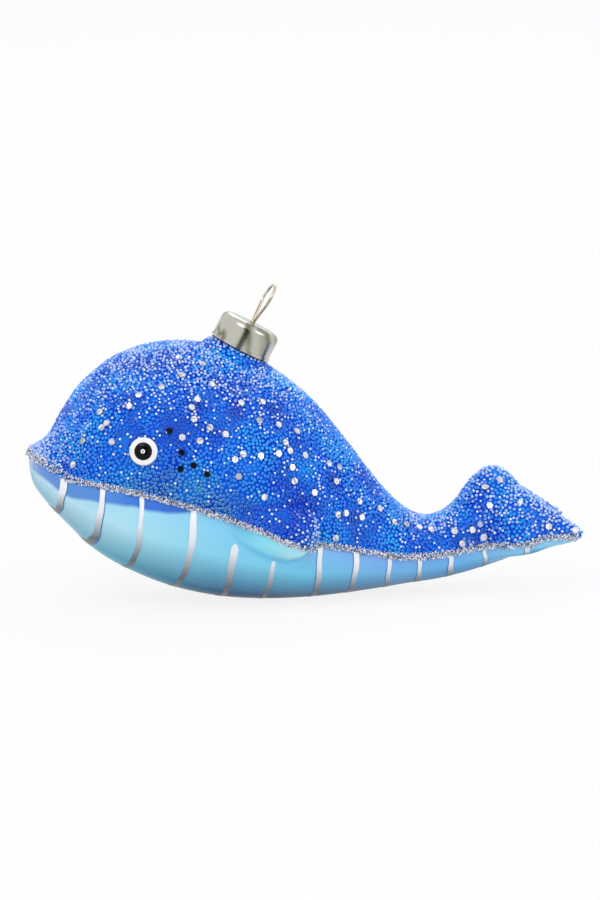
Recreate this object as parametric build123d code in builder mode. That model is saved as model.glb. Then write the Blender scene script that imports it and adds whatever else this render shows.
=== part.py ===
from build123d import *
import os
from math import ceil, cos, radians, sin

os.makedirs("parts", exist_ok=True)

# A mould-blown glass whale that hangs from a wire loop in a metal neck cap.
# +X runs from the nose to the tail, +Z is up, and the XZ plane is the plane of symmetry.
# The origin lies under the middle of the whale, at the height of the flat that it rests on.

# Driving sizes of the glass
whale_length = 144.0
body_half_width = 28.0
body_height = 67.2
glass_wall = 1.0
lip_reach = 1.3
lip_drop = 0.9

# Driving sizes of the coat of beads and of the glitter line
coat_thickness = 0.9
glitter_width = 2.0
glitter_proud = 0.25
nose_setback = 0.7
tip_setback = 0.8

# Driving sizes of the flukes and of the pectoral fins
fluke_half_span = 15.5
fluke_depth = 10.6
fin_length = 26.5
fin_half_breadth = 7.0
fin_half_thickness = 4.4
fin_droop = 18.0
fin_tuck = 4.0

# Driving sizes of the neck and of its cap
neck_tilt = 27.5
neck_outer_radius = 6.3
neck_wall = 1.1
neck_bore_depth = 9.0
collar_radius = 7.8
collar_flare = 2.0
collar_depth = 5.0
cap_radius = 8.1
cap_height = 7.3
cap_sheet = 0.35
cap_shoulder = 1.9
cap_rim_height = 0.8
cap_rim_reach = 0.25
cap_seat_gap = 0.1
slot_length = 3.0
slot_width = 1.5

# Driving sizes of the wire hanger
wire_radius = 0.38
loop_height = 11.4
loop_half_width = 4.3
loop_bend = 3.9
leg_depth = 11.3
knee_depth = 5.8
leg_spread = 4.3
waist_half_gap = 0.62
waist_bend = 1.2
knee_bend = 2.4
hanger_lean = 3.5

# Driving sizes of the eyes and of the glued flakes
eye_radius = 3.65
eye_thickness = 1.3
eye_edge = 0.45
pupil_radius = 2.25
pupil_thickness = 0.6
pupil_edge_drop = 0.35
pupil_edge_width = 0.9
flake_across = 1.9
dark_flake_across = 1.75
flake_thickness = 0.16
glue_gap = 0.05

# One overrun serves every cut, and every ray starts clear of the whale
overrun = 5.0
# Rows of the skins stand no further apart than this
skin_row_spacing = 8.0
hollow_row_spacing = 14.0

# Stations of the body, from the nose to the tail.
# Shares: along the length, half width, mouth line, belly and back heights, swell of the cheek.
body_station_shares = (
    (0.0008, 0.075, 0.588, 0.506, 0.591, 0.00),
    (0.0060, 0.222, 0.583, 0.466, 0.590, 0.00),
    (0.0150, 0.348, 0.570, 0.432, 0.603, 0.00),
    (0.0400, 0.542, 0.536, 0.366, 0.645, -0.32),
    (0.0694, 0.675, 0.519, 0.299, 0.748, -0.12),
    (0.1100, 0.797, 0.507, 0.212, 0.860, 0.12),
    (0.1700, 0.908, 0.483, 0.130, 0.953, 0.22),
    (0.2500, 0.984, 0.437, 0.056, 0.998, 0.25),
    (0.3400, 1.000, 0.371, 0.009, 0.977, 0.22),
    (0.4300, 0.947, 0.298, -0.007, 0.901, 0.17),
    (0.5100, 0.846, 0.255, -0.005, 0.767, 0.09),
    (0.5750, 0.732, 0.220, 0.005, 0.598, 0.03),
    (0.6400, 0.607, 0.184, 0.020, 0.416, 0.00),
    (0.6900, 0.503, 0.168, 0.033, 0.312, 0.00),
    (0.7400, 0.409, 0.165, 0.043, 0.281, 0.00),
    (0.7850, 0.352, 0.175, 0.060, 0.333, 0.00),
    (0.8200, 0.326, 0.186, 0.079, 0.434, 0.00),
    (0.8507, 0.300, 0.192, 0.098, 0.473, 0.00),
    (0.8800, 0.264, 0.197, 0.119, 0.443, 0.00),
    (0.9030, 0.200, 0.201, 0.144, 0.376, 0.00),
    (0.9090, 0.150, 0.203, 0.160, 0.340, 0.00),
)
# Where the jaw's lip has shrunk to its width along the tail, and that width
lip_end_share = 0.47
lip_least_share = 0.3
# Bezier handles: round sections, a flat crown on the back and a broad belly
round_share = 0.5523
crown_share = 0.56
belly_share = 0.62
# The lip turns into the jaw's side with a slight edge
lip_edge_share = 0.1

# The mouth line follows the stations from this one, and goes on out to the tips of the flukes
first_seam_station = 2
seam_nose_height_share = 0.598
seam_tail_shares = ((0.9306, 0.223), (0.9700, 0.229))
seam_tip_height_share = 0.232

# Stations of one fluke: along the length, out to the side, height, depth, thickness, tilt
fluke_station_shares = (
    (0.8056, 0.12, 0.193, 0.66, 0.42, 1.18),
    (0.8611, 0.30, 0.275, 0.98, 0.47, 1.06),
    (0.9097, 0.45, 0.266, 0.82, 0.41, 0.94),
    (0.9444, 0.65, 0.255, 0.53, 0.30, 0.88),
    (0.9722, 0.80, 0.241, 0.31, 0.20, 0.86),
    (0.9931, 0.92, 0.234, 0.14, 0.10, 0.86),
    (1.0000, 0.96, 0.230, 0.05, 0.04, 0.86),
)
fluke_tilt = 58.0

# Place of a fin's root, and its stations: along the fin, breadth, thickness
fin_root_shares = (0.3190, 0.945, 0.398)
fin_station_shares = (
    (0.00, 0.16, 0.18),
    (0.10, 0.52, 0.52),
    (0.32, 0.84, 0.78),
    (0.58, 1.00, 0.96),
    (0.78, 0.99, 1.00),
    (0.91, 0.76, 0.80),
    (0.98, 0.40, 0.46),
    (1.00, 0.14, 0.18),
)

# Where the cap's rim sits above the back
seat_along_share = 0.3847
seat_height_share = 0.975

# The loop's shoulders stand out past its round top by this share
shoulder_share = 1.5

# Where the eyes are glued on
eye_along_share = 0.179
eye_height_share = 0.649

# Where the silver flakes are glued on, from the head to the tips: along, height
silver_flake_shares = (
    (0.260, 0.972), (0.258, 0.918), (0.218, 0.881), (0.177, 0.852), (0.158, 0.812), (0.109, 0.783),
    (0.109, 0.730), (0.118, 0.748), (0.078, 0.672), (0.124, 0.682), (0.060, 0.581), (0.311, 0.884),
    (0.301, 0.950), (0.280, 0.836), (0.268, 0.810), (0.270, 0.768), (0.298, 0.736), (0.246, 0.704),
    (0.278, 0.689), (0.326, 0.709), (0.362, 0.814), (0.404, 0.809), (0.393, 0.747), (0.430, 0.724),
    (0.466, 0.692), (0.440, 0.658), (0.448, 0.627), (0.425, 0.622), (0.390, 0.620), (0.357, 0.632),
    (0.341, 0.614), (0.478, 0.603), (0.450, 0.566), (0.453, 0.514), (0.347, 0.549), (0.395, 0.463),
    (0.492, 0.462), (0.525, 0.560), (0.546, 0.541), (0.537, 0.492), (0.582, 0.405), (0.537, 0.368),
    (0.553, 0.370), (0.585, 0.346), (0.532, 0.278), (0.624, 0.365), (0.652, 0.308), (0.677, 0.291),
    (0.703, 0.274), (0.725, 0.261), (0.769, 0.251), (0.782, 0.204), (0.802, 0.254), (0.816, 0.279),
    (0.821, 0.229), (0.834, 0.348), (0.830, 0.412), (0.859, 0.436), (0.892, 0.353), (0.938, 0.269),
    (0.985, 0.256),
)
# Where the black flakes are glued on, behind the eye
black_flake_shares = ((0.224, 0.728), (0.244, 0.647), (0.265, 0.598), (0.241, 0.585), (0.289, 0.562))
# Each flake is turned on from the one before
flake_turn = 37.0

nose_x = -whale_length / 2
neck_bore_radius = neck_outer_radius - neck_wall
flake_side_count = 6


def along(share):
    """Place along the whale, from the nose to the tips of the flukes."""
    return nose_x + share * whale_length


def stretched(x, grow):
    """A station moves out, or in, with the skin that it belongs to."""
    return x * (1 + 2 * grow / whale_length)


def smooth_rows(rows, spacing):
    """Rows of a table, and rows between them where they stand wide apart, on smooth curves."""
    last = len(rows) - 1
    result = []
    for index in range(last):
        before = rows[max(index - 1, 0)]
        start = rows[index]
        end = rows[index + 1]
        after = rows[min(index + 2, last)]
        gap = end[0] - start[0]
        steps = ceil(gap * whale_length / spacing)
        for step in range(steps):
            t = step / steps
            row = [start[0] + t * gap]
            for p0, p1, p2, p3 in list(zip(before, start, end, after))[1:]:
                slope_in = gap * (p2 - p0) / (end[0] - before[0])
                slope_out = gap * (p3 - p1) / (after[0] - start[0])
                bend = 3 * (p2 - p1) - 2 * slope_in - slope_out
                turn = slope_in + slope_out - 2 * (p2 - p1)
                row.append(p1 + t * (slope_in + t * (bend + t * turn)))
            result.append(row)
    result.append(list(rows[last]))
    return result


def lip_at(share):
    """Reach of the jaw's lip, which shrinks along the flank."""
    fade = max(0.0, 1 - share / lip_end_share)
    return lip_reach * (lip_least_share + (1 - lip_least_share) * fade)


def trunk_loft(grow, spacing):
    """Head, back and tail stock over the jaw and belly, with the jaw's lip between them."""
    with BuildPart() as trunk:
        for share, width, mouth, belly, top, swell in smooth_rows(body_station_shares, spacing):
            half = width * body_half_width + grow
            outer = half + lip_at(share)
            seam_z = mouth * body_height
            turn_z = seam_z - lip_drop * lip_at(share) / lip_reach
            top_z = top * body_height + grow
            low_z = belly * body_height - grow
            rise_z = seam_z + (top_z - seam_z) * (round_share + min(0, swell))
            side_z = turn_z - (turn_z - low_z) * round_share
            ledge_y = half + round_share * (outer - half)
            edge_y = outer - lip_edge_share * (outer - half)
            edge_z = turn_z + round_share * (seam_z - turn_z)
            crown_y = half * crown_share
            belly_y = outer * belly_share
            cheek_y = half * (1 + swell)
            with BuildSketch(Plane.YZ.offset(stretched(along(share), grow))):
                with BuildLine():
                    Bezier((0, top_z), (crown_y, top_z), (cheek_y, rise_z), (half, seam_z))
                    Bezier((half, seam_z), (ledge_y, seam_z), (edge_y, edge_z), (outer, turn_z))
                    Bezier((outer, turn_z), (outer, side_z), (belly_y, low_z), (0, low_z))
                    Bezier((0, low_z), (-belly_y, low_z), (-outer, side_z), (-outer, turn_z))
                    Bezier((-outer, turn_z), (-edge_y, edge_z), (-ledge_y, seam_z), (-half, seam_z))
                    Bezier((-half, seam_z), (-cheek_y, rise_z), (-crown_y, top_z), (0, top_z))
                make_face()
        loft(ruled=True)
    return trunk.part


def fluke_loft(grow):
    """One fluke, a thick blade that leans like a roof and runs out to a tip."""
    with BuildPart() as fluke:
        for share, side, height, depth, thick, tilt in fluke_station_shares:
            lean = radians(tilt * fluke_tilt)
            middle = (stretched(along(share), grow), -side * fluke_half_span, height * body_height)
            plane = Plane(middle, x_dir=(0, cos(lean), sin(lean)), z_dir=(1, 0, 0))
            with BuildSketch(plane):
                Ellipse(depth * fluke_depth + grow, thick * fluke_depth + grow)
        loft()
    return fluke.part


def fin_loft(grow):
    """One pectoral fin, a teardrop that swells out of the flank and ends in a step."""
    root_along, root_side, root_height = fin_root_shares
    droop = radians(fin_droop)
    tuck = radians(fin_tuck)
    aim = Vector(cos(droop) * cos(tuck), sin(tuck), -sin(droop))
    up = Vector(sin(droop), 0, cos(droop))
    root = Vector(along(root_along), -root_side * body_half_width, root_height * body_height)
    with BuildPart() as fin:
        for share, breadth, thick in fin_station_shares:
            reach = share * (fin_length + 2 * grow) - grow
            with BuildSketch(Plane(root + aim * reach, x_dir=up, z_dir=aim)):
                Ellipse(breadth * fin_half_breadth + grow, thick * fin_half_thickness + grow)
        loft()
    return fin.part


# The cap's seat plane: its Z axis is the axis of the neck
seat_origin = Vector(along(seat_along_share), 0, seat_height_share * body_height)
neck_axis = Vector(sin(radians(neck_tilt)), 0, cos(radians(neck_tilt)))
neck_across = Vector(cos(radians(neck_tilt)), 0, -sin(radians(neck_tilt)))
seat_plane = Plane(seat_origin, x_dir=neck_across, z_dir=neck_axis)
neck_profile_plane = Plane(seat_origin, x_dir=neck_across, z_dir=(0, -1, 0))
neck_turn_axis = Axis(seat_origin, neck_axis)
cap_rim_level = cap_seat_gap
cap_top_level = cap_rim_level + cap_height
neck_top_level = cap_top_level - cap_sheet - cap_seat_gap


def collar_solid(grow):
    """The shoulder of the neck, which flares into the back."""
    with BuildPart() as collar:
        with BuildSketch(neck_profile_plane):
            Polygon((0, grow - coat_thickness), (collar_radius + grow, grow - coat_thickness),
                    (collar_radius + collar_flare + grow, -collar_depth), (0, -collar_depth), align=None)
        revolve(axis=neck_turn_axis)
    return collar.part


def whale_skin(grow):
    """The whole outline of the whale as one solid, grown or shrunk by a skin."""
    with BuildPart() as skin:
        add(trunk_loft(grow, skin_row_spacing), clean=False)
        add(collar_solid(grow), clean=False)
        for piece in (fluke_loft(grow), fin_loft(grow)):
            add(piece, clean=False)
            add(mirror(piece, about=Plane.XZ), clean=False)
    return skin.part


# The mouth line in side view, from just behind the nose to just short of the tips
seam_points = [(nose_x + nose_setback, seam_nose_height_share * body_height)]
for station in body_station_shares[first_seam_station:]:
    seam_points.append((along(station[0]), station[2] * body_height))
for share, height in seam_tail_shares:
    seam_points.append((along(share), height * body_height))
seam_points.append((along(1) - tip_setback, seam_tip_height_share * body_height))


def seam_region(low, high):
    """Everything between two copies of the mouth line, right across the whale."""
    lower = [(x, z + low) for x, z in seam_points]
    upper = [(x, z + high) for x, z in seam_points]
    with BuildPart() as region:
        with BuildSketch(Plane.XZ):
            with BuildLine():
                Spline(*lower)
                Line(lower[-1], upper[-1])
                Spline(*reversed(upper))
                Line(upper[0], lower[0])
            make_face()
        extrude(amount=body_half_width + overrun, both=True)
    return region.part


bare_skin = whale_skin(0)
beaded_skin = whale_skin(coat_thickness)
glitter_skin = whale_skin(coat_thickness + glitter_proud)

# Blown glass body, hollow, open under the neck, with a small flat to rest on
with BuildPart() as glass_body:
    add(bare_skin, clean=False)
    add(trunk_loft(-glass_wall, hollow_row_spacing), mode=Mode.SUBTRACT, clean=False)
    with BuildSketch(seat_plane.offset(-neck_bore_depth)):
        Circle(neck_bore_radius)
    extrude(amount=neck_bore_depth, mode=Mode.SUBTRACT, clean=False)
    with BuildSketch(Plane.XY):
        Rectangle(whale_length, 2 * body_half_width)
    extrude(amount=-overrun, mode=Mode.SUBTRACT, clean=False)
glass_body.part.label = "glass_body"
export_step(glass_body.part, "parts/glass_body.step")

# Neck, an open tube of the same glass that stands on the collar and carries the cap
with BuildPart() as glass_neck:
    with BuildSketch(seat_plane.offset(-coat_thickness)):
        Circle(neck_outer_radius)
        Circle(neck_bore_radius, mode=Mode.SUBTRACT)
    extrude(amount=coat_thickness + neck_top_level)
glass_neck.part.label = "glass_neck"
export_step(glass_neck.part, "parts/glass_neck.step")

# Coat of glass beads over the head, the back and the flukes, down to the glitter line
with BuildPart() as bead_coat:
    add(beaded_skin, clean=False)
    add(seam_region(glitter_width / 2, body_height), mode=Mode.INTERSECT, clean=False)
    add(bare_skin, mode=Mode.SUBTRACT, clean=False)
    with BuildSketch(seat_plane.offset(-collar_depth)):
        Circle(neck_outer_radius)
    extrude(amount=collar_depth + cap_height, mode=Mode.SUBTRACT, clean=False)
bead_coat.part.label = "bead_coat"
export_step(bead_coat.part, "parts/bead_coat.step")

# Raised line of glitter where the coat ends, along the mouth and out to the flukes
with BuildPart() as glitter_line:
    add(glitter_skin, clean=False)
    add(seam_region(-glitter_width / 2, glitter_width / 2), mode=Mode.INTERSECT, clean=False)
    add(bare_skin, mode=Mode.SUBTRACT, clean=False)
glitter_line.part.label = "glitter_line"
export_step(glitter_line.part, "parts/glitter_line.step")

# Pressed metal cap over the neck: rounded shoulder, rolled rim and a slot for the wire
with BuildPart() as cap:
    with BuildSketch(neck_profile_plane):
        with BuildLine():
            FilletPolyline((0, cap_top_level), (cap_radius, cap_top_level), (cap_radius, cap_rim_level),
                           radius=cap_shoulder)
            Line((cap_radius, cap_rim_level), (cap_radius - cap_sheet, cap_rim_level))
            Polyline((cap_radius - cap_sheet, cap_rim_level),
                     (cap_radius - cap_sheet, cap_top_level - cap_shoulder),
                     (cap_radius - cap_shoulder, cap_top_level - cap_sheet),
                     (0, cap_top_level - cap_sheet),
                     (0, cap_top_level))
        make_face()
        with Locations((cap_radius, cap_rim_level)):
            Rectangle(cap_rim_reach, cap_rim_height, align=(Align.MIN, Align.MIN))
    revolve(axis=neck_turn_axis)
    with BuildSketch(seat_plane.offset(cap_top_level)):
        SlotOverall(slot_length, slot_width, rotation=90)
    extrude(amount=-2 * cap_sheet, mode=Mode.SUBTRACT)
cap.part.label = "cap"
export_step(cap.part, "parts/cap.step")

# Wire hanger: one length of wire with a loop above the cap and two legs that spring out in the neck.
# It turns a little in the cap's slot, about the point where its strands come together.
hanger_angle = radians(neck_tilt + hanger_lean)
hanger_pivot = seat_origin + neck_axis * cap_top_level
hanger_plane = Plane(hanger_pivot, x_dir=(0, 1, 0), z_dir=(cos(hanger_angle), 0, -sin(hanger_angle)))
shoulder_reach = loop_half_width * shoulder_share
with BuildPart() as hanger_wire:
    with BuildLine(hanger_plane) as wire_path:
        FilletPolyline(
            (-leg_spread, -leg_depth),
            (-leg_spread, -knee_depth),
            (-waist_half_gap, 0),
            (-shoulder_reach, loop_height),
            (shoulder_reach, loop_height),
            (waist_half_gap, 0),
            (leg_spread, -knee_depth),
            (leg_spread, -leg_depth),
            radius=(knee_bend, waist_bend, loop_bend, loop_bend, waist_bend, knee_bend),
        )
    with BuildSketch(Plane(wire_path.line @ 0, z_dir=wire_path.line % 0)):
        Circle(wire_radius)
    sweep()
hanger_wire.part.label = "hanger_wire"
export_step(hanger_wire.part, "parts/hanger_wire.step")


def seat_on_coat(x, z, side):
    """Plane on the coat's outer face at a place seen from the side, facing outwards."""
    start = Vector(x, side * (body_half_width + overrun), z)
    hits = beaded_skin.find_intersection_points(Axis(start, (0, -side, 0)))
    point, normal = min(hits, key=lambda hit: abs(hit[0].Y - start.Y))
    outward = normal if normal.Y * side > 0 else -normal
    return Plane(point + outward * glue_gap, x_dir=outward.cross(Vector(0, 0, 1)), z_dir=outward)


def flakes(places, across, side):
    """Flat six-sided flakes on one flank, each in a solid of its own."""
    with BuildPart() as group:
        for index, (share, height) in enumerate(places):
            with BuildSketch(seat_on_coat(along(share), height * body_height, side)):
                RegularPolygon(across / 2, flake_side_count, rotation=index * flake_turn)
        extrude(amount=flake_thickness, clean=False)
    return group.part


# Each flank has a glued eye, which is a thick disc with a black pupil on it, and its flakes
for side, name in ((-1, "right"), (1, "left")):
    eye_plane = seat_on_coat(along(eye_along_share), eye_height_share * body_height, side)
    eye_axis = Axis(eye_plane.origin, eye_plane.z_dir)
    with BuildPart() as eye:
        with BuildSketch(eye_plane):
            Circle(eye_radius)
        extrude(amount=eye_thickness)
        chamfer(eye.edges().sort_by(eye_axis)[-1], length=eye_edge)
    eye.part.label = "eye_" + name
    export_step(eye.part, "parts/eye_" + name + ".step")

    with BuildPart() as pupil:
        with BuildSketch(eye_plane.offset(eye_thickness)):
            Circle(pupil_radius)
        extrude(amount=pupil_thickness)
        pupil_top = pupil.faces().sort_by(eye_axis)[-1]
        chamfer(pupil_top.edges(), length=pupil_edge_width, length2=pupil_edge_drop, reference=pupil_top)
    pupil.part.label = "pupil_" + name
    export_step(pupil.part, "parts/pupil_" + name + ".step")

    with BuildPart() as silver_flakes:
        add(flakes(silver_flake_shares, flake_across, side), clean=False)
    silver_flakes.part.label = "silver_confetti_" + name
    export_step(silver_flakes.part, "parts/silver_confetti_" + name + ".step")

    with BuildPart() as black_flakes:
        add(flakes(black_flake_shares, dark_flake_across, side), clean=False)
    black_flakes.part.label = "black_confetti_" + name
    export_step(black_flakes.part, "parts/black_confetti_" + name + ".step")
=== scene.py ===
from math import asin, cos, pi, radians, sin, sqrt

import bmesh
import bpy
import numpy as np
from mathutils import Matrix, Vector
from mathutils.bvhtree import BVHTree


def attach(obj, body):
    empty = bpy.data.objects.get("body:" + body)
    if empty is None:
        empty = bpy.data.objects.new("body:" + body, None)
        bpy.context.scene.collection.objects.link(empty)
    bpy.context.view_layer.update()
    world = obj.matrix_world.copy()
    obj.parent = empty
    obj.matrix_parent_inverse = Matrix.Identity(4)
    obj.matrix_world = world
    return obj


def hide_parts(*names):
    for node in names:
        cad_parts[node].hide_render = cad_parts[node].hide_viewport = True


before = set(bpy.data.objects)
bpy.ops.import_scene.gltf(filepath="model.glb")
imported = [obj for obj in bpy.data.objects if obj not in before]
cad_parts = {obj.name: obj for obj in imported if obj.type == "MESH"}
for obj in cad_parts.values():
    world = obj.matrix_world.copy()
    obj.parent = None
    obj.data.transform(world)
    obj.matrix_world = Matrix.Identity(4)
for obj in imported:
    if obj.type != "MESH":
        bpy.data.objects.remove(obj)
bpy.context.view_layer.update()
MM = 0.001

# Driving sizes of the glass as the solids have them, in metres and degrees
WHALE_LENGTH = 144 * MM
BODY_HALF_WIDTH = 28 * MM
BODY_HEIGHT = 67.2 * MM
LIP_REACH = 1.3 * MM
LIP_DROP = 0.9 * MM
FLUKE_HALF_SPAN = 15.5 * MM
FLUKE_DEPTH = 10.6 * MM
FLUKE_TILT = 58.0
FIN_LENGTH = 26.5 * MM
FIN_HALF_BREADTH = 7.0 * MM
FIN_HALF_THICKNESS = 4.4 * MM
FIN_DROOP = 18.0
FIN_TUCK = 4.0
NECK_TILT = 27.5
NECK_RADIUS = 6.3 * MM
NECK_WALL = 1.1 * MM
NECK_TOP = 6.95 * MM
COLLAR_RADIUS = 7.8 * MM
COLLAR_FLARE = 2.0 * MM
COLLAR_DEPTH = 5.0 * MM
COAT = 0.9 * MM
NOSE_X = -WHALE_LENGTH / 2
SEAT_SHARES = (0.3847, 0.975)
SEAT = Vector((NOSE_X + SEAT_SHARES[0] * WHALE_LENGTH, 0, SEAT_SHARES[1] * BODY_HEIGHT))
NECK_AXIS = Vector((sin(radians(NECK_TILT)), 0, cos(radians(NECK_TILT))))

# Stations of the body: along, half width, mouth line, belly, back, swell of the cheek
BODY_SHARES = (
    (0.0008, 0.075, 0.588, 0.506, 0.591, 0.00),
    (0.0060, 0.222, 0.583, 0.466, 0.590, 0.00),
    (0.0150, 0.348, 0.570, 0.432, 0.603, 0.00),
    (0.0400, 0.542, 0.536, 0.366, 0.645, -0.32),
    (0.0694, 0.675, 0.519, 0.299, 0.748, -0.12),
    (0.1100, 0.797, 0.507, 0.212, 0.860, 0.12),
    (0.1700, 0.908, 0.483, 0.130, 0.953, 0.22),
    (0.2500, 0.984, 0.437, 0.056, 0.998, 0.25),
    (0.3400, 1.000, 0.371, 0.009, 0.977, 0.22),
    (0.4300, 0.947, 0.298, -0.007, 0.901, 0.17),
    (0.5100, 0.846, 0.255, -0.005, 0.767, 0.09),
    (0.5750, 0.732, 0.220, 0.005, 0.598, 0.03),
    (0.6400, 0.607, 0.184, 0.020, 0.416, 0.00),
    (0.6900, 0.503, 0.168, 0.033, 0.312, 0.00),
    (0.7400, 0.409, 0.165, 0.043, 0.281, 0.00),
    (0.7850, 0.352, 0.175, 0.060, 0.333, 0.00),
    (0.8200, 0.326, 0.186, 0.079, 0.434, 0.00),
    (0.8507, 0.300, 0.192, 0.098, 0.473, 0.00),
    (0.8800, 0.264, 0.197, 0.119, 0.443, 0.00),
    (0.9030, 0.200, 0.201, 0.144, 0.376, 0.00),
    (0.9090, 0.150, 0.203, 0.160, 0.340, 0.00),
)
# Stations of a fluke: along, out, height, depth, thickness, tilt
FLUKE_SHARES = (
    (0.8056, 0.12, 0.193, 0.66, 0.42, 1.18),
    (0.8611, 0.30, 0.275, 0.98, 0.47, 1.06),
    (0.9097, 0.45, 0.266, 0.82, 0.41, 0.94),
    (0.9444, 0.65, 0.255, 0.53, 0.30, 0.88),
    (0.9722, 0.80, 0.241, 0.31, 0.20, 0.86),
    (0.9931, 0.92, 0.234, 0.14, 0.10, 0.86),
    (1.0000, 0.96, 0.230, 0.05, 0.04, 0.86),
)
# A fin's root (along, out, up) and its stations: along the fin, breadth, thickness
FIN_ROOT_SHARES = (0.3190, 0.945, 0.398)
FIN_SHARES = (
    (0.00, 0.16, 0.18),
    (0.10, 0.52, 0.52),
    (0.32, 0.84, 0.78),
    (0.58, 1.00, 0.96),
    (0.78, 0.99, 1.00),
    (0.91, 0.76, 0.80),
    (0.98, 0.40, 0.46),
    (1.00, 0.14, 0.18),
)
# The mouth line: along, height
LINE_SHARES = [(-0.02, 0.603)] + [(row[0], row[2]) for row in BODY_SHARES[2:]]
LINE_SHARES += [(0.9306, 0.223), (0.9700, 0.229), (1.02, 0.232)]
LIP_END_SHARE = 0.47
LIP_LEAST_SHARE = 0.3
LIP_EDGE_SHARE = 0.1
ROUND_SHARE = 0.5523
CROWN_SHARE = 0.56
BELLY_SHARE = 0.62
EYE_SHARES = (0.179, 0.649)

# Where the line follows the fin's lower edge down and steps up again
DIP_START, DIP_FALL = -15.5 * MM, 11 * MM
DIP_END, DIP_STEP = 0.5 * MM, 2.2 * MM
DIP_DEPTH = 1.4 * MM

# The fin as the colours see it: where it lies, fades in and ends, and its soft edge
FLANK_FROM = 15 * MM
FIN_START_SHARE = 0.08
FIN_FADE_SHARE = 0.34
FIN_END_SHARE = 1.02
FIN_SOFT_SHARE = 0.22
FIN_THIN_SHARE = 0.01
CREASE_SHARE = 1.16
BEADED_FIN_SHARE = 1.05

# How finely the skins are divided and smoothed
TRUNK_SECTIONS, TRUNK_STEPS, LIP_STEPS = 220, 26, 4
NOSE_CROWDING = 1.25
FLUKE_SECTIONS, FLUKE_SIDES = 60, 40
FIN_SECTIONS, FIN_SIDES = 40, 36
TURNED_SIDES = 72
VOXEL = 0.55 * MM
SMOOTHING, SMOOTH_ROUNDS = 0.5, 6

# Tables of heights along the whale, and the least depth of the belly
TABLE_MARGIN, TABLE_PLACES = 2 * MM, 600
LEAST_DEPTH = 2 * MM

# Where a ray starts that looks for the flank
RAY_START = 0.1


def along(share):
    """Place along the whale, from the nose to the tips."""
    return NOSE_X + share * WHALE_LENGTH


def held(values):
    """Numbers held between 0 and 1."""
    return np.clip(values, 0, 1)


def ramped(values, start, length):
    """0 before a start, 1 a length after it, and straight between them."""
    return held((values - start) / length)


def smooth_at(rows, where):
    """A table's columns at a place along its first column, on smooth curves."""
    last = len(rows) - 1
    index = max(0, min(last - 1, sum(1 for row in rows if row[0] <= where) - 1))
    before, start = rows[max(index - 1, 0)], rows[index]
    end, after = rows[index + 1], rows[min(index + 2, last)]
    gap = end[0] - start[0]
    t = ramped(where, start[0], gap)
    values = []
    for p0, p1, p2, p3 in list(zip(before, start, end, after))[1:]:
        slope_in = gap * (p2 - p0) / (end[0] - before[0])
        slope_out = gap * (p3 - p1) / (after[0] - start[0])
        bend = 3 * (p2 - p1) - 2 * slope_in - slope_out
        turn = slope_in + slope_out - 2 * (p2 - p1)
        values.append(p1 + t * (slope_in + t * (bend + t * turn)))
    return values


def line_height(x):
    """Height of the mouth line, where the coat ends: it dips under the fin and steps up behind it."""
    dip = DIP_DEPTH * ramped(x, DIP_START, DIP_FALL) * ramped(-x, -DIP_END, DIP_STEP)
    return smooth_at(LINE_SHARES, (x - NOSE_X) / WHALE_LENGTH)[0] * BODY_HEIGHT - dip


def belly_height(x):
    """Height of the belly's middle at a place along the whale."""
    share = (x - NOSE_X) / WHALE_LENGTH
    return smooth_at(BODY_SHARES, min(share, BODY_SHARES[-1][0]))[2] * BODY_HEIGHT


def heights_at(places, height):
    """Heights at many places along the whale, read from a fine table."""
    grid = np.linspace(NOSE_X - TABLE_MARGIN, -NOSE_X + TABLE_MARGIN, TABLE_PLACES)
    return np.interp(places, grid, [height(x) for x in grid])


def linked(name, data):
    """A new object in the scene."""
    obj = bpy.data.objects.new(name, data)
    bpy.context.scene.collection.objects.link(obj)
    return obj


def new_object(name, vertices, faces):
    """A smooth mesh object from its points and faces."""
    mesh = bpy.data.meshes.new(name)
    mesh.from_pydata(vertices, [], faces)
    mesh.update()
    mesh.shade_smooth()
    return linked(name, mesh)


def face_outwards(mesh):
    """Turns the faces of closed skins outwards."""
    bm = bmesh.new()
    bm.from_mesh(mesh)
    bmesh.ops.recalc_face_normals(bm, faces=bm.faces)
    bm.to_mesh(mesh)
    bm.free()


def tube_of_rings(rings, loops=False):
    """Points and faces of a skin through rings, closed at its ends or joined to itself."""
    count = len(rings[0])
    points = [p for ring in rings for p in ring]
    starts = [i * count for i in range(len(rings))]
    follows = starts[1:] + [0] if loops else starts[1:]
    faces = []
    for a, b in zip(starts, follows):
        for j in range(count):
            k = (j + 1) % count
            faces.append((a + j, a + k, b + k, b + j))
    if not loops:
        faces.append(tuple(reversed(range(count))))
        faces.append(tuple(starts[-1] + j for j in range(count)))
    return points, faces


def bezier(corners, t):
    """A point on a cubic curve in the plane of a section."""
    s = 1 - t
    weights = (s * s * s, 3 * s * s * t, 3 * s * t * t, t * t * t)
    return [sum(w * p[i] for w, p in zip(weights, corners)) for i in (0, 1)]


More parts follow.
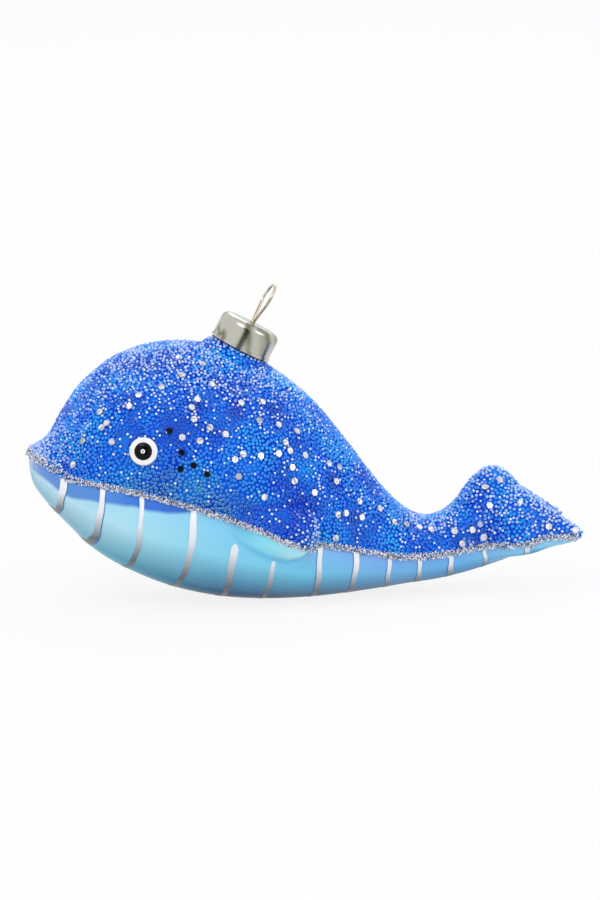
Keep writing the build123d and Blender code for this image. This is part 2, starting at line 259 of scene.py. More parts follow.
def trunk_ring(share):
    """One section of head, back and tail stock, from the crown round by the near flank."""
    width, mouth, belly, top, swell = smooth_at(BODY_SHARES, share)
    fade = max(0.0, 1 - share / LIP_END_SHARE)
    lip = LIP_REACH * (LIP_LEAST_SHARE + (1 - LIP_LEAST_SHARE) * fade)
    half = width * BODY_HALF_WIDTH
    outer = half + lip
    seam = mouth * BODY_HEIGHT
    turn = seam - LIP_DROP * lip / LIP_REACH
    high = top * BODY_HEIGHT
    low = belly * BODY_HEIGHT
    rise = seam + (high - seam) * (ROUND_SHARE + min(0, swell))
    side = turn - (turn - low) * ROUND_SHARE
    edge = outer - LIP_EDGE_SHARE * lip
    brim = turn + ROUND_SHARE * (seam - turn)
    curves = (
        ((0, high), (half * CROWN_SHARE, high), (half * (1 + swell), rise), (half, seam), TRUNK_STEPS),
        ((half, seam), (half + ROUND_SHARE * lip, seam), (edge, brim), (outer, turn), LIP_STEPS),
        ((outer, turn), (outer, side), (outer * BELLY_SHARE, low), (0, low), TRUNK_STEPS),
    )
    flank = []
    for *corners, count in curves:
        flank += [bezier(corners, i / count) for i in range(count)]
    x = along(share)
    near = [Vector((x, -y, z)) for y, z in flank]
    far = [Vector((x, y, z)) for y, z in reversed(flank[1:])]
    return near + [Vector((x, 0, low))] + far


def ellipse_ring(middle, first, second, count):
    """Points round an ellipse that is given by its two half axes."""
    angles = [2 * pi * i / count for i in range(count)]
    return [middle + first * cos(a) + second * sin(a) for a in angles]


def spread(rows, count):
    """Evenly spaced places along a table."""
    first, last = rows[0][0], rows[-1][0]
    return [first + (last - first) * i / count for i in range(count + 1)]


def fluke_rings(side):
    """Sections of one fluke."""
    rings = []
    for share in spread(FLUKE_SHARES, FLUKE_SECTIONS):
        out, height, depth, thick, tilt = smooth_at(FLUKE_SHARES, share)
        lean = radians(tilt * FLUKE_TILT)
        middle = Vector((along(share), side * out * FLUKE_HALF_SPAN, height * BODY_HEIGHT))
        first = Vector((0, -side * cos(lean), sin(lean))) * depth * FLUKE_DEPTH
        second = Vector((0, side * sin(lean), cos(lean))) * thick * FLUKE_DEPTH
        rings.append(ellipse_ring(middle, first, second, FLUKE_SIDES))
    return rings


def fin_rings(side):
    """Sections of one pectoral fin."""
    droop, tuck = radians(FIN_DROOP), radians(FIN_TUCK)
    aim = Vector((cos(droop) * cos(tuck), -side * sin(tuck), -sin(droop)))
    rise = Vector((sin(droop), 0, cos(droop)))
    across = aim.cross(rise)
    root_along, root_out, root_up = FIN_ROOT_SHARES
    root = Vector((along(root_along), side * root_out * BODY_HALF_WIDTH, root_up * BODY_HEIGHT))
    rings = []
    for share in spread(FIN_SHARES, FIN_SECTIONS):
        breadth, thick = smooth_at(FIN_SHARES, share)
        middle = root + aim * share * FIN_LENGTH
        half_breadth, half_thickness = breadth * FIN_HALF_BREADTH, thick * FIN_HALF_THICKNESS
        rings.append(ellipse_ring(middle, rise * half_breadth, across * half_thickness, FIN_SIDES))
    return rings


def turned(profile, origin, axis, count=TURNED_SIDES, loops=False):
    """Points and faces of a profile of (radius, height) pairs turned about an axis."""
    basis = axis.to_track_quat("Z", "X").to_matrix()
    rings = []
    for radius, height in profile:
        ring = []
        for i in range(count):
            a = 2 * pi * i / count
            ring.append(origin + basis @ Vector((radius * cos(a), radius * sin(a), height)))
        rings.append(ring)
    return tube_of_rings(rings, loops)


def arc(middle, reach, rise, sweep, steps):
    """Points of a profile on an arc from its outermost point, with its two half axes."""
    angles = [sweep * i / steps for i in range(steps + 1)]
    return [(middle[0] + reach * cos(a), middle[1] + rise * sin(a)) for a in angles]


def joined(parts):
    """One list of points and one of faces from several."""
    points, faces = [], []
    for part_points, part_faces in parts:
        base = len(points)
        points += part_points
        faces += [tuple(base + i for i in face) for face in part_faces]
    return points, faces


def make_shell():
    """The glass whale in one smooth skin: trunk, flukes, fins and the neck's collar."""
    first, last = BODY_SHARES[0][0], BODY_SHARES[-1][0]
    places = [(i / TRUNK_SECTIONS) ** NOSE_CROWDING for i in range(TRUNK_SECTIONS + 1)]
    parts = [tube_of_rings([trunk_ring(first + (last - first) * place) for place in places])]
    for side in (-1, 1):
        parts.append(tube_of_rings(fluke_rings(side)))
        parts.append(tube_of_rings(fin_rings(side)))
    collar = ((COLLAR_RADIUS + COLLAR_FLARE, -COLLAR_DEPTH), (COLLAR_RADIUS, -COAT))
    parts.append(turned(collar, SEAT, NECK_AXIS))
    raw = new_object("glass_shell", *joined(parts))
    face_outwards(raw.data)
    remesh = raw.modifiers.new("remesh", "REMESH")
    remesh.mode = "VOXEL"
    remesh.voxel_size = VOXEL
    smooth = raw.modifiers.new("smooth", "SMOOTH")
    smooth.factor = SMOOTHING
    smooth.iterations = SMOOTH_ROUNDS
    depsgraph = bpy.context.evaluated_depsgraph_get()
    mesh = bpy.data.meshes.new_from_object(raw.evaluated_get(depsgraph))
    raw.modifiers.clear()
    raw.data = mesh
    for vertex in mesh.vertices:
        vertex.co.z = max(vertex.co.z, 0.0)
    mesh.shade_smooth()
    return raw


def open_neck(shell):
    """Cuts the hole that the neck's tube stands in."""
    bm = bmesh.new()
    bm.from_mesh(shell.data)
    doomed = []
    for vertex in bm.verts:
        offset = vertex.co - SEAT
        level = offset.dot(NECK_AXIS)
        radius = (offset - NECK_AXIS * level).length
        if radius < NECK_RADIUS - NECK_WALL / 2 and level > -COLLAR_DEPTH:
            doomed.append(vertex)
    bmesh.ops.delete(bm, geom=doomed, context="VERTS")
    bm.to_mesh(shell.data)
    bm.free()


def fin_place(points):
    """Share along the fin and share of its breadth, as seen from the side."""
    droop = radians(FIN_DROOP)
    root_along, _, root_up = FIN_ROOT_SHARES
    dx, dz = points[:, 0] - along(root_along), points[:, 2] - root_up * BODY_HEIGHT
    reach = (dx * cos(droop) - dz * sin(droop)) / FIN_LENGTH
    lift = dx * sin(droop) + dz * cos(droop)
    table = np.array(FIN_SHARES)
    breadth = np.interp(reach, table[:, 0], table[:, 1], left=FIN_THIN_SHARE, right=FIN_THIN_SHARE)
    return reach, lift / (breadth * FIN_HALF_BREADTH)


def fin_mask(points, breadth):
    """1 on a fin of so many times its breadth, 0 off it, with a soft edge."""
    reach, lift = fin_place(points)
    inside = ramped(breadth - np.abs(lift), -FIN_SOFT_SHARE / 2, FIN_SOFT_SHARE)
    on_flank = np.abs(points[:, 1]) > FLANK_FROM
    return inside * ramped(reach, FIN_START_SHARE, FIN_FADE_SHARE) * (reach < FIN_END_SHARE) * on_flank


def vectors_of(items, key, kind):
    """Three numbers of each of a mesh's items, as one array."""
    flat = np.zeros(len(items) * 3, kind)
    items.foreach_get(key, flat)
    return flat.reshape(-1, 3)


def add_values(mesh, **values):
    """Gives every point of a mesh its named numbers."""
    for name, numbers in values.items():
        attribute = mesh.attributes.new(name, "FLOAT", "POINT")
        attribute.data.foreach_set("value", np.asarray(numbers, np.float32))


def mark_shell(shell):
    """Gives the shell the numbers that the lacquer reads."""
    co = vectors_of(shell.data.vertices, "co", np.float32)
    line = heights_at(co[:, 0], line_height)
    low = heights_at(co[:, 0], belly_height)
    add_values(
        shell.data, over_line=(co[:, 2] - line) / MM, along_share=(co[:, 0] - NOSE_X) / WHALE_LENGTH,
        belly_depth=held((line - co[:, 2]) / np.maximum(line - low, LEAST_DEPTH)),
        fin=fin_mask(co, 1), crease=fin_mask(co, CREASE_SHARE), fin_reach=fin_place(co)[0])


def eye_seat(tree, side):
    """Where an eye is glued on: its middle on the coat and the way it looks."""
    x, z = along(EYE_SHARES[0]), EYE_SHARES[1] * BODY_HEIGHT
    hit, normal, _, _ = tree.ray_cast(Vector((x, side * RAY_START, z)), Vector((0, -side, 0)))
    return hit + normal * COAT, normal


# A bead's ball: points round its middle, and the slant and turn of the rows over and under it
BALL_SIDES, BALL_SLANT, BALL_TURN = 8, 0.7071, 0.5


def make_ball():
    """A small ball of 32 faces, which every bead is a copy of."""
    step = 2 * pi / BALL_SIDES
    half = BALL_SIDES // 2
    poles = [(0, 0, 1), (0, 0, -1)]
    ring = [(cos(step * i), sin(step * i), 0) for i in range(BALL_SIDES)]
    points, faces = poles + ring, []
    for pole, (_, _, up) in enumerate(poles):
        start = len(points)
        for i in range(half):
            angle = step * (2 * i + BALL_TURN)
            points.append((cos(angle) * BALL_SLANT, sin(angle) * BALL_SLANT, up * BALL_SLANT))
            here, after, third = (len(poles) + (2 * i + k) % BALL_SIDES for k in range(3))
            a, b = start + i, start + (i + 1) % half
            group = [(pole, a, b), (a, here, after), (a, after, b), (b, after, third)]
            faces += group if up > 0 else [face[::-1] for face in group]
    return np.array(points, np.float64), np.array(faces, np.int64)


NEIGHBOURS = [(i, j, k) for i in (-1, 0, 1) for j in (-1, 0, 1) for k in (-1, 0, 1)]


def is_free(point, key, cells, spacing):
    """True where no chosen point in the cells about a point is nearer than the spacing."""
    x, y, z = point
    i, j, k = key
    for di, dj, dk in NEIGHBOURS:
        for ox, oy, oz in cells.get((i + di, j + dj, k + dk), ()):
            if (x - ox) ** 2 + (y - oy) ** 2 + (z - oz) ** 2 < spacing * spacing:
                return False
    return True


def scatter(shell, keep, spacing, tries, seed):
    """Places on the shell, no nearer to each other than the spacing, with their normals."""
    mesh = shell.data
    mesh.calc_loop_triangles()
    triangles = vectors_of(mesh.loop_triangles, "vertices", np.int64)
    co = vectors_of(mesh.vertices, "co", np.float64)
    normals = vectors_of(mesh.vertices, "normal", np.float64)
    triangles = triangles[keep(co[triangles].mean(axis=1))]
    a, b, c = (co[triangles[:, i]] for i in range(3))
    area = np.linalg.norm(np.cross(b - a, c - a), axis=1)
    rng = np.random.default_rng(seed)
    picks = rng.choice(len(triangles), size=tries, p=area / area.sum())
    u, v = rng.random(tries), rng.random(tries)
    flip = u + v > 1
    u[flip], v[flip] = 1 - u[flip], 1 - v[flip]
    spots = a[picks] + u[:, None] * (b - a)[picks] + v[:, None] * (c - a)[picks]
    keys = np.floor(spots / spacing).astype(np.int64)
    cells, chosen = {}, []
    for index, (point, key) in enumerate(zip(spots.tolist(), map(tuple, keys.tolist()))):
        if is_free(point, key, cells, spacing):
            cells.setdefault(key, []).append(point)
            chosen.append(index)
    return spots[chosen], normals[triangles[picks, 0]][chosen], rng


def frames_of(normals, rng):
    """Random turns about the normals, as matrices whose third column is the normal."""
    n = normals / np.linalg.norm(normals, axis=1)[:, None]
    random = rng.normal(size=n.shape)
    first = random - (random * n).sum(axis=1)[:, None] * n
    first /= np.linalg.norm(first, axis=1)[:, None]
    second = np.cross(n, first)
    return np.stack([first, second, n], axis=2)


def copies(name, shape, faces, spots, frames, sizes, values):
    """One mesh with a copy of a shape at every spot, and the shape's own height as pole."""
    placed = np.einsum("nij,pj->npi", frames, shape) * sizes[:, None, None] + spots[:, None, :]
    points = placed.reshape(-1, 3)
    corners = faces.shape[1]
    starts = np.arange(len(spots)) * len(shape)
    all_faces = (faces[None] + starts[:, None, None]).reshape(-1, corners)
    mesh = bpy.data.meshes.new(name)
    mesh.vertices.add(len(points))
    mesh.vertices.foreach_set("co", points.astype(np.float32).ravel())
    mesh.loops.add(all_faces.size)
    mesh.loops.foreach_set("vertex_index", all_faces.astype(np.int32).ravel())
    mesh.polygons.add(len(all_faces))
    mesh.polygons.foreach_set("loop_start", np.arange(0, all_faces.size, corners, dtype=np.int32))
    mesh.update(calc_edges=True)
    repeated = {key: np.repeat(value, len(shape)) for key, value in values.items()}
    add_values(mesh, **repeated, pole=np.tile(shape[:, 2], len(spots)))
    return linked(name, mesh)


def new_material(name, settings):
    """A material with one surface shader, whose constants are set on its own sockets."""
    material = bpy.data.materials.new(name)
    material.use_nodes = True
    tree = material.node_tree
    tree.nodes.clear()
    output = tree.nodes.new("ShaderNodeOutputMaterial")
    shader = tree.nodes.new("ShaderNodeBsdfPrincipled")
    tree.links.new(shader.outputs[0], output.inputs[0])
    for socket, value in settings.items():
        shader.inputs[socket].default_value = value
    return material, tree, shader


def value_node(tree, name):
    """A number that the mesh carries."""
    node = tree.nodes.new("ShaderNodeAttribute")
    node.attribute_name = name
    return node.outputs["Fac"]


# The curve between a colour's written numbers and the light that they stand for
WRITTEN_WHITE = 255
TOE_END, TOE_SLOPE = 0.04045, 12.92
CURVE_LIFT, CURVE_POWER = 0.055, 2.4


def colour(red, green, blue):
    """A colour written in 0 to 255, as the shader wants it."""
    result = []
    for part in (red, green, blue):
        share = part / WRITTEN_WHITE
        curve = ((share + CURVE_LIFT) / (1 + CURVE_LIFT)) ** CURVE_POWER
        result.append(share / TOE_SLOPE if share <= TOE_END else curve)
    return (*result, 1)


def ramp_node(tree, factor, stops):
    """A ramp through (place, written colour) or (place, number) stops."""
    node = tree.nodes.new("ShaderNodeValToRGB")
    elements = node.color_ramp.elements
    while len(elements) < len(stops):
        elements.new(1)
    for element, (place, value) in zip(elements, stops):
        element.position = place
        element.color = colour(*value) if isinstance(value, tuple) else (value, value, value, 1)
    tree.links.new(factor, node.inputs[0])
    return node.outputs[0]


def math_node(tree, operation, *values, clamp=False):
    """A sum on numbers, each a socket or a constant."""
    node = tree.nodes.new("ShaderNodeMath")
    node.operation = operation
    node.use_clamp = clamp
    for socket, value in zip(node.inputs, values):
        if isinstance(value, (int, float)):
            socket.default_value = value
        else:
            tree.links.new(value, socket)
    return node.outputs[0]


def scaled(tree, value, by, plus=0, clamp=False):
    """A number times another, with a third added."""
    return math_node(tree, "MULTIPLY_ADD", value, by, plus, clamp=clamp)


# Sockets of the mix node that work on colours
MIX_FACTOR, MIX_FIRST, MIX_SECOND, MIX_RESULT = 0, 6, 7, 2


def mix_node(tree, factor, first, second):
    """A mix of two colours, each a socket or a written colour."""
    node = tree.nodes.new("ShaderNodeMix")
    node.data_type = "RGBA"
    tree.links.new(factor, node.inputs[MIX_FACTOR])
    for index, value in ((MIX_FIRST, first), (MIX_SECOND, second)):
        if isinstance(value, tuple):
            node.inputs[index].default_value = colour(*value)
        else:
            tree.links.new(value, node.inputs[index])
    return node.outputs[MIX_RESULT]


def noise_node(tree, scale, detail, stretch=(1, 1, 1)):
    """A noise in the object's own frame."""
    coordinates = tree.nodes.new("ShaderNodeTexCoord")
    mapping = tree.nodes.new("ShaderNodeMapping")
    mapping.inputs["Scale"].default_value = stretch
    noise = tree.nodes.new("ShaderNodeTexNoise")
    noise.inputs["Scale"].default_value = scale
    noise.inputs["Detail"].default_value = detail
    tree.links.new(coordinates.outputs["Object"], mapping.inputs[0])
    tree.links.new(mapping.outputs[0], noise.inputs["Vector"])
    return noise.outputs["Fac"]


def bump(tree, shader, height, strength, distance):
    """Fine relief from a height."""
    node = tree.nodes.new("ShaderNodeBump")
    node.inputs["Strength"].default_value = strength
    node.inputs["Distance"].default_value = distance
    tree.links.new(height, node.inputs["Height"])
    tree.links.new(node.outputs[0], shader.inputs["Normal"])


# The belly's lacquer from nose to flukes, at the line, half way down and underneath, where it is darker with
# painted shade. A pair is a factor and what is added to it, here and further down
LINE_RAMP = (
    (0.00, (140, 190, 236)), (0.16, (144, 208, 236)), (0.36, (104, 186, 232)), (0.50, (112, 168, 236)),
    (0.60, (112, 156, 236)), (0.75, (100, 160, 232)), (0.90, (124, 192, 238)), (1.00, (124, 204, 238)))
MIDDLE_RAMP = (
    (0.00, (186, 220, 240)), (0.14, (178, 230, 246)), (0.30, (130, 216, 244)), (0.48, (104, 206, 240)),
    (0.62, (100, 182, 238)), (0.78, (88, 176, 234)), (0.92, (136, 204, 240)), (1.00, (124, 204, 238)))
SHADED_BOTTOM_RAMP = (
    (0.00, (150, 196, 214)), (0.16, (84, 170, 200)), (0.34, (0, 98, 150)), (0.55, (0, 108, 160)),
    (0.75, (24, 128, 184)), (1.00, (90, 170, 212)))
UPPER_HALF = 2.2
LOWER_HALF = (2.3, -1.0)
CLOUD, CLOUD_STRENGTH = (206, 236, 240), 0.14

# The blue band under the line: its reach, its edge's wave and sharpness, and its colours
REACH_RAMP = ((0.00, 0.95), (0.10, 0.92), (0.19, 0.84), (0.24, 0.60), (0.29, 0.0))
WAVE = (0.9, 0.55)
BAND_DEPTH, BAND_SHARPNESS, BAND_STRENGTH = -0.19, 5.0, 0.92
BAND_RAMP = (
    (0.00, (70, 130, 210)), (0.11, (66, 130, 214)), (0.17, (0, 100, 212)), (0.22, (0, 88, 206)),
    (0.27, (0, 66, 186)))

# The fin's blade and the painted shade in the crease round it, and the lacquer over the line
BLADE_RAMP = (
    (0.10, (120, 206, 240)), (0.50, (140, 226, 246)), (0.85, (176, 236, 248)), (1.00, (160, 226, 244)))
CREASE_SHADE, CREASE_SHADE_STRENGTH = (50, 166, 206), 0.6
BACK_RAMP = ((0.35, (0, 64, 204)), (0.55, (0, 104, 228)), (0.7, (20, 140, 240)))
BORDER = (2.5, 0.9)

# The gloss, which fades down the belly and ends at the line
WET, ROUGH, SHEEN = (-0.5, 0.5), (0.5, 0.22), (-0.14, 0.15)


def lacquer():
    """Pearl aqua lacquer under the line, with painted shade underneath and in the crease round the fin, and
    royal blue lacquer over it.
    """
    material, tree, shader = new_material("lacquered_glass", {"Coat Roughness": 0.04})
    place = value_node(tree, "along_share")
    depth = value_node(tree, "belly_depth")
    over = value_node(tree, "over_line")
    top, middle, bottom = (ramp_node(tree, place, ramp) for ramp in (LINE_RAMP, MIDDLE_RAMP, SHADED_BOTTOM_RAMP))
    upper_half = scaled(tree, depth, UPPER_HALF, clamp=True)
    lower_half = scaled(tree, depth, *LOWER_HALF, clamp=True)
    # The lacquer's own tones, darker towards the bottom with painted shade
    belly = mix_node(tree, lower_half, mix_node(tree, upper_half, top, middle), bottom)
    cloud = noise_node(tree, scale=60, detail=3.0, stretch=(0.6, 1, 2))
    belly = mix_node(tree, scaled(tree, cloud, CLOUD_STRENGTH), belly, CLOUD)
    wave = noise_node(tree, scale=90, detail=1.0, stretch=(1, 0.2, 0.2))
    wave = scaled(tree, wave, *WAVE)
    reach = scaled(tree, ramp_node(tree, place, REACH_RAMP), wave)
    band = math_node(tree, "SUBTRACT", reach, scaled(tree, over, BAND_DEPTH))
    band = scaled(tree, band, BAND_SHARPNESS, clamp=True)
    band = scaled(tree, band, BAND_STRENGTH)
    belly = mix_node(tree, band, belly, ramp_node(tree, place, BAND_RAMP))
    # Painted shade: a darker line in the crease round the fin
    crease = scaled(tree, value_node(tree, "crease"), CREASE_SHADE_STRENGTH)
    belly = mix_node(tree, crease, belly, CREASE_SHADE)
    blade = ramp_node(tree, value_node(tree, "fin_reach"), BLADE_RAMP)
    belly = mix_node(tree, value_node(tree, "fin"), belly, blade)
    back = ramp_node(tree, noise_node(tree, scale=110, detail=3.0), BACK_RAMP)
    border = scaled(tree, over, *BORDER, clamp=True)
    wet = scaled(tree, lower_half, *WET)
    dry = scaled(tree, border, -1.0, 1.0)
    tree.links.new(mix_node(tree, border, belly, back), shader.inputs["Base Color"])
    tree.links.new(scaled(tree, wet, dry), shader.inputs["Coat Weight"])
    tree.links.new(scaled(tree, border, *ROUGH), shader.inputs["Roughness"])
    tree.links.new(scaled(tree, lower_half, *SHEEN), shader.inputs["Specular IOR Level"])
    bump(tree, shader, noise_node(tree, scale=45, detail=1.0), strength=0.12, distance=0.3 * MM)
    return material


# Beads: blue in patches, deep on the fin, duller with painted light from below low down, paler at their
# sides with painted reflections, and pale with painted highlights
DEEP_RAMP = ((0.34, (0, 36, 192)), (0.46, (0, 110, 236)), (0.58, (0, 152, 242)), (0.70, (0, 172, 246)))
FIN_BLUE, FIN_STRENGTH = (0, 24, 206), 0.8
UNDERLIT_BLUE, UNDERLIT_STRENGTH = (0, 112, 184), 0.55
RIM_REFLECTION, UNDERLIT_RIM_REFLECTION, HIGHLIGHT_PALE = (120, 186, 255), (136, 190, 228), (176, 206, 252)
RIM_SIDES, RIM_PALLOR, HIGHLIGHT_STRENGTH = (-2.2, 1.85), (0.3, 0.5), 0.85

# Painted glints on a few beads: likelier on top of the whale, and on the bead's own crown
BEAD_GLINT, GLINT_RISE = (232, 236, 255), 0.16
BEAD_GLINT_RAMP = ((0.89, 0.0), (0.93, 1.0))
CROWN = (3.0, -1.4)


def bead_glass():
    """Small clear beads that show the blue lacquer through their crowns, with painted reflections that pale
    their sides, painted light from below, painted highlights and painted glints.
    """
    settings = {"Roughness": 0.15, "IOR": 1.5, "Specular IOR Level": 0.14}
    material, tree, shader = new_material("glass_beads", settings)
    luck, rise, painted_highlight, low, fin, pole = (
        value_node(tree, name) for name in ("luck", "rise", "painted_highlight", "low", "fin", "pole"))
    deep = ramp_node(tree, noise_node(tree, scale=85, detail=3.0), DEEP_RAMP)
    deep = mix_node(tree, scaled(tree, fin, FIN_STRENGTH), deep, FIN_BLUE)
    # Painted light from below dulls the beads that face down and those on the low cheek
    deep = mix_node(tree, scaled(tree, low, UNDERLIT_STRENGTH, clamp=True), deep, UNDERLIT_BLUE)
    # Painted reflection: the beads' sides turn pale, more so on the low ones
    rim_reflection = mix_node(tree, low, RIM_REFLECTION, UNDERLIT_RIM_REFLECTION)
    sides = scaled(tree, pole, *RIM_SIDES, clamp=True)
    rim_pallor = scaled(tree, low, *RIM_PALLOR)
    shade = mix_node(tree, scaled(tree, sides, rim_pallor), deep, rim_reflection)
    # Painted highlights turn some beads pale
    highlight_mix = scaled(tree, painted_highlight, HIGHLIGHT_STRENGTH)
    shade = mix_node(tree, highlight_mix, shade, mix_node(tree, low, HIGHLIGHT_PALE, rim_reflection))
    # Painted glints: white on the crowns of a few beads
    bead_glint = ramp_node(tree, scaled(tree, rise, GLINT_RISE, luck), BEAD_GLINT_RAMP)
    crown = scaled(tree, pole, *CROWN, clamp=True)
    shade = mix_node(tree, scaled(tree, bead_glint, crown), shade, BEAD_GLINT)
    tree.links.new(shade, shader.inputs["Base Color"])
    return material


# Foil grains from the dullest to the brightest, partly their own tone and partly painted reflection
GLITTER_RAMP = (
    (0.0, (84, 90, 110)), (0.15, (160, 168, 190)), (0.5, (214, 220, 236)), (0.85, (255, 255, 255)),
    (1.0, (226, 214, 232)))
FLAKE_RAMP = ((0.0, (150, 150, 156)), (0.4, (206, 204, 210)), (1.0, (244, 244, 248)))


def grain_foil(name, stops, roughness, metallic, glow):
    """Foil whose grains differ, partly in their own tone and partly in painted reflection as each lies its
    own way, with as much painted glow as is given.
    """
    settings = {"Roughness": roughness, "Metallic": metallic, "Emission Strength": glow}
    material, tree, shader = new_material(name, settings)
    geometry = tree.nodes.new("ShaderNodeNewGeometry")
    # Each grain's brightness is partly painted reflection
    shade = ramp_node(tree, geometry.outputs["Random Per Island"], stops)
    tree.links.new(shade, shader.inputs["Base Color"])
    tree.links.new(shade, shader.inputs["Emission Color"])
    return material


# Silver paint from the line down, greyer under the belly with painted shade, its speckle, and the shadow
# along one edge
SHADED_PAINT_RAMP = ((0.0, (246, 246, 250)), (0.35, (232, 234, 240)), (0.60, (164, 172, 182)), (0.80, (70, 80, 92)))
SPECKLE, SPECKLE_STRENGTH = (245, 246, 250), 0.12
EDGE_RAMP, EDGE_BLUE = ((0.70, 0.0), (0.80, 1.0)), (40, 104, 184)


def stripe_silver():
    """Silver paint, pearly at the top of a stripe and grey with painted shade under the belly."""
    settings = {"Roughness": 0.35, "Metallic": 0.2, "Specular IOR Level": 0.2}
    material, tree, shader = new_material("silver_paint", settings)
    # The paint greys towards the belly's bottom with painted shade
    shade = ramp_node(tree, value_node(tree, "belly_depth"), SHADED_PAINT_RAMP)
    grain = noise_node(tree, scale=900, detail=3.0)
    shade = mix_node(tree, scaled(tree, grain, SPECKLE_STRENGTH), shade, SPECKLE)
    edge = ramp_node(tree, value_node(tree, "shadow"), EDGE_RAMP)
    tree.links.new(mix_node(tree, edge, shade, EDGE_BLUE), shader.inputs["Base Color"])
    bump(tree, shader, grain, strength=0.2, distance=0.05 * MM)
    return material


# Metals, the cap's colours in streaks of painted reflection
CAP_REFLECTION_RAMP = (
    (0.38, (190, 188, 178)), (0.47, (116, 122, 100)), (0.56, (196, 190, 182)), (0.68, (184, 176, 204)))
WIRE_RAMP = ((0.35, (150, 134, 118)), (0.65, (214, 202, 188)))


def satin_metal():
    """Champagne cap with streaks of painted reflection that change round it."""
    material, tree, shader = new_material("cap_metal", {"Metallic": 1.0, "Roughness": 0.2})
    # Painted reflection: streaks of colour round the cap
    reflection_streaks = noise_node(tree, scale=130, detail=1.0, stretch=(1.6, 1.6, 0.15))
    tree.links.new(ramp_node(tree, reflection_streaks, CAP_REFLECTION_RAMP), shader.inputs["Base Color"])
    fine = noise_node(tree, scale=1500, detail=2.0, stretch=(1, 1, 0.1))
    bump(tree, shader, fine, strength=0.08, distance=0.02 * MM)
    return material


def wire_metal():
    """Drawn warm nickel wire."""
    material, tree, shader = new_material("wire_metal", {"Metallic": 1.0, "Roughness": 0.22})
    shade = ramp_node(tree, noise_node(tree, scale=160, detail=1.0), WIRE_RAMP)
    tree.links.new(shade, shader.inputs["Base Color"])
    return material


DARK_END, LIGHT_START = 0.3, 0.7


def gloss(name, dark, light, roughness, specular):
    """Glossy enamel with a faint cloud in it, which turns from dark to light."""
    settings = {"Roughness": roughness, "Specular IOR Level": specular}
    material, tree, shader = new_material(name, settings)
    cloud = noise_node(tree, scale=400, detail=2.0)
    shade = ramp_node(tree, cloud, ((DARK_END, dark), (LIGHT_START, light)))
    tree.links.new(shade, shader.inputs["Base Color"])
    return material


def dress(obj, material, body, replaced=()):
    """Gives a piece its material and its body, and hides the nodes that it stands for."""
    obj.data.materials.clear()
    obj.data.materials.append(material)
    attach(obj, body)
    if replaced:
        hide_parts(*replaced)


# Bare places under an eye and under the cap: radius and depth
EYE_CLEAR_RADIUS, EYE_CLEAR_DEPTH = 3.4 * MM, 4 * MM
CAP_CLEAR_RADIUS, CAP_CLEAR_DEPTH = 7.0 * MM, 3 * MM


def about_axis(points, middle, axis):
    """Distance of points from an axis, and their level along it."""
    offset = points - np.array(middle)
    level = offset @ np.array(axis)
    return np.linalg.norm(offset - level[:, None] * np.array(axis), axis=1), level


def far_from_fittings(points, seats):
    """True where beads can lie: not under an eye and not under the cap."""
    radius, level = about_axis(points, SEAT, NECK_AXIS)
    free = (radius >= CAP_CLEAR_RADIUS) | (level <= -CAP_CLEAR_DEPTH)
    for middle, normal in seats:
        radius, level = about_axis(points, middle, normal)
        free &= (radius >= EYE_CLEAR_RADIUS) | (np.abs(level) >= EYE_CLEAR_DEPTH)
    return free


# Beads: spacing, tries, seed, radii in millimetres, stand on the shell, gap to the line
BEAD_SPACING, BEAD_TRIES, BEAD_SEED = 0.80 * MM, 150000, 11
BEAD_RADII = (0.42, 0.52)
BEAD_STAND_SHARE = 0.85
BEAD_LINE_GAP = 0.8 * MM

# Beads duller and paler with painted light from below: low on the flank, and in a field under the eye, its
# height in millimetres
UNDERLIT_RISE, UNDERLIT_START = 2.2, 0.1
FIELD_START, FIELD_END, FIELD_FADE = -52 * MM, -16 * MM, 14 * MM
FIELD_MOST, FIELD_HEIGHT = 1.15, 11

# Luck that a fin's tip adds to its beads, which makes painted glints likelier there
TIP_START, TIP_RISE, TIP_MOST = 0.72, 1.6, 0.35

# Chance of a painted highlight: anywhere, and more on top, on the tail, on the nose and at a fin's tip
HIGHLIGHT_LEAST, HIGHLIGHT_SHARPNESS = 0.02, 4
HIGHLIGHT_TOP, TOP_START, TOP_FADE = 0.75, 0.5, 0.45
HIGHLIGHT_TAIL, TAIL_START, TAIL_FADE = 0.42, 36 * MM, 14 * MM
HIGHLIGHT_NOSE, NOSE_START, NOSE_FADE = 0.36, 56 * MM, 8 * MM
HIGHLIGHT_FIN, FIN_TIP_START, FIN_TIP_FADE = 0.45, 0.7, 0.2

# The coat's pieces, from and to along the whale
BEAD_PIECES = (
    ("beads_head", -100 * MM, -45 * MM), ("beads_shoulder", -45 * MM, -20 * MM),
    ("beads_back", -20 * MM, 12 * MM), ("beads_tail", 12 * MM, 100 * MM))


